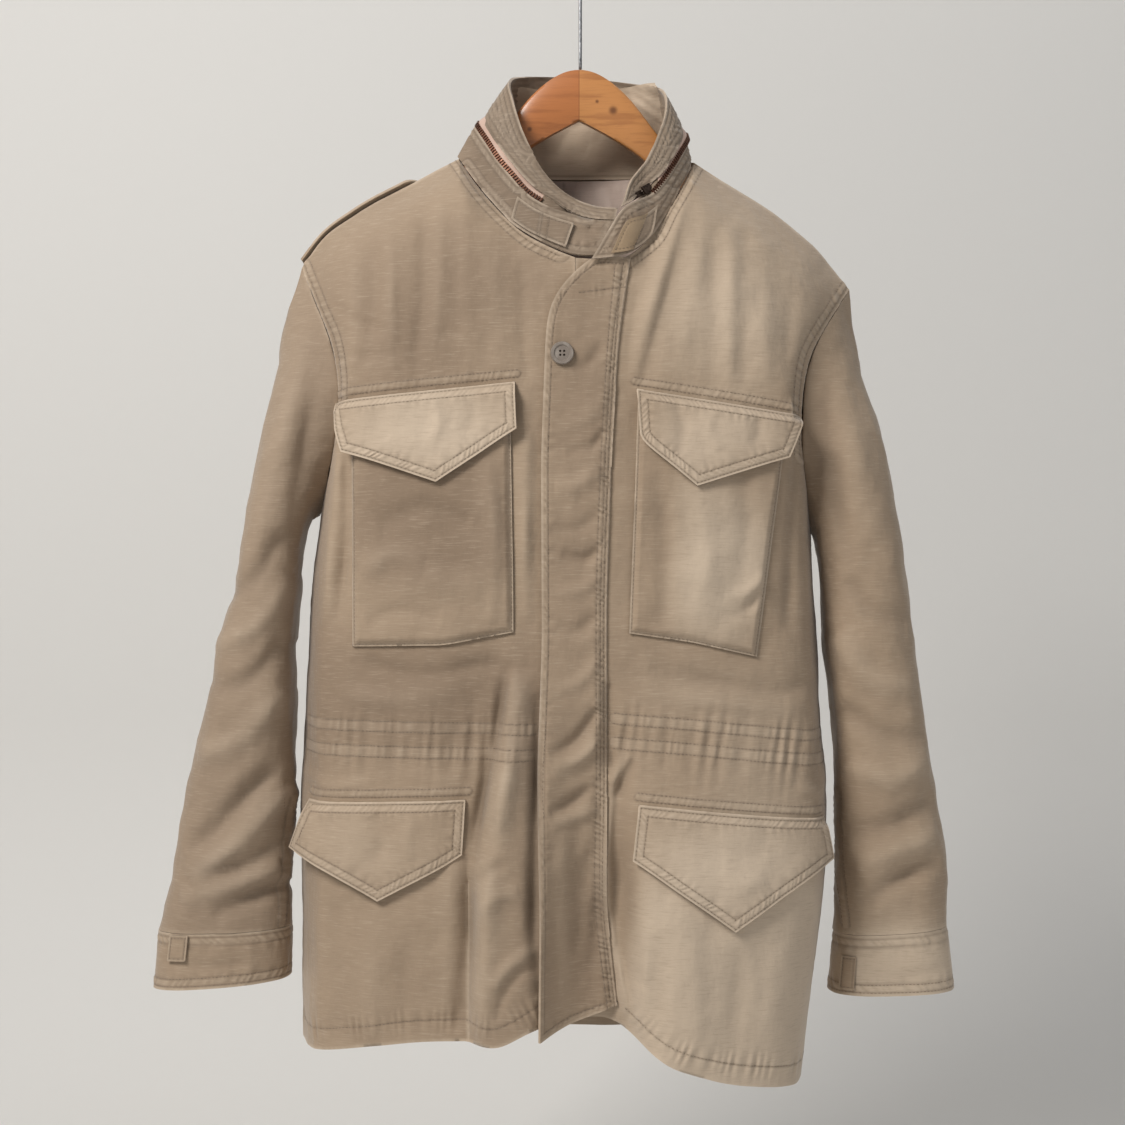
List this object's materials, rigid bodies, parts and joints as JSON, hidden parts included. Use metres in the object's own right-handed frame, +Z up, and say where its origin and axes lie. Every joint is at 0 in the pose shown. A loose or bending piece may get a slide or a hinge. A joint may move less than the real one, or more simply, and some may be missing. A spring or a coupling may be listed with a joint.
{
  "type": "field jacket on a wooden hanger",
  "caption": "Hip-length field jacket with stand collar, storm flap, chest and lower pockets, hung on a shaped wooden hanger.",
  "frame": {"origin": "inside top of the hanger's hook, where the part hangs", "axes": "+Z up, the front of the jacket faces -Y, +X is the wearer's left"},
  "size_m": [0.736, 0.1882, 1.0484],
  "materials": {
    "shell": "worn khaki cotton sateen",
    "lining": "thin grey-mauve lining",
    "tape": "woven zip tape with teeth",
    "zip_metal": "aged brass",
    "button": "taupe, satin",
    "wood": "satin varnish",
    "steel": "bright wire"
  },
  "bodies": {
    "jacket": {"front_right": "shell", "front_left": "shell", "back": "shell", "storm_flap": "shell", "collar_lower": "shell", "collar_upper": "shell", "collar_zip": "tape", "collar_tab": "shell", "throat_strap": "shell", "neck_facing": "shell", "neck_lining": "lining", "sleeve_right": "shell", "sleeve_left": "shell", "cuff_right": "shell", "cuff_left": "shell", "cuff_patch_right": "shell", "cuff_patch_left": "shell", "epaulette_right": "shell", "epaulette_left": "shell", "chest_pocket_right": "shell", "chest_pocket_left": "shell", "chest_flap_right": "shell", "chest_flap_left": "shell", "lower_flap_right": "shell", "lower_flap_left": "shell", "front_button": "button", "hanger_wood": "wood", "hanger_hook": "steel", "zip_slider": "zip_metal"},
    "pull_tab": {"zip_pull": "zip_metal"}
  },
  "joints": [
    {"name": "pull_tab_hinge", "type": "hinge", "parent": "jacket", "child": "pull_tab", "pos_m": [0.05887, -0.04608, -0.25398], "axis": [0.5582, 0.0396, -0.8287], "range_deg": [0, 120]}
  ]
}
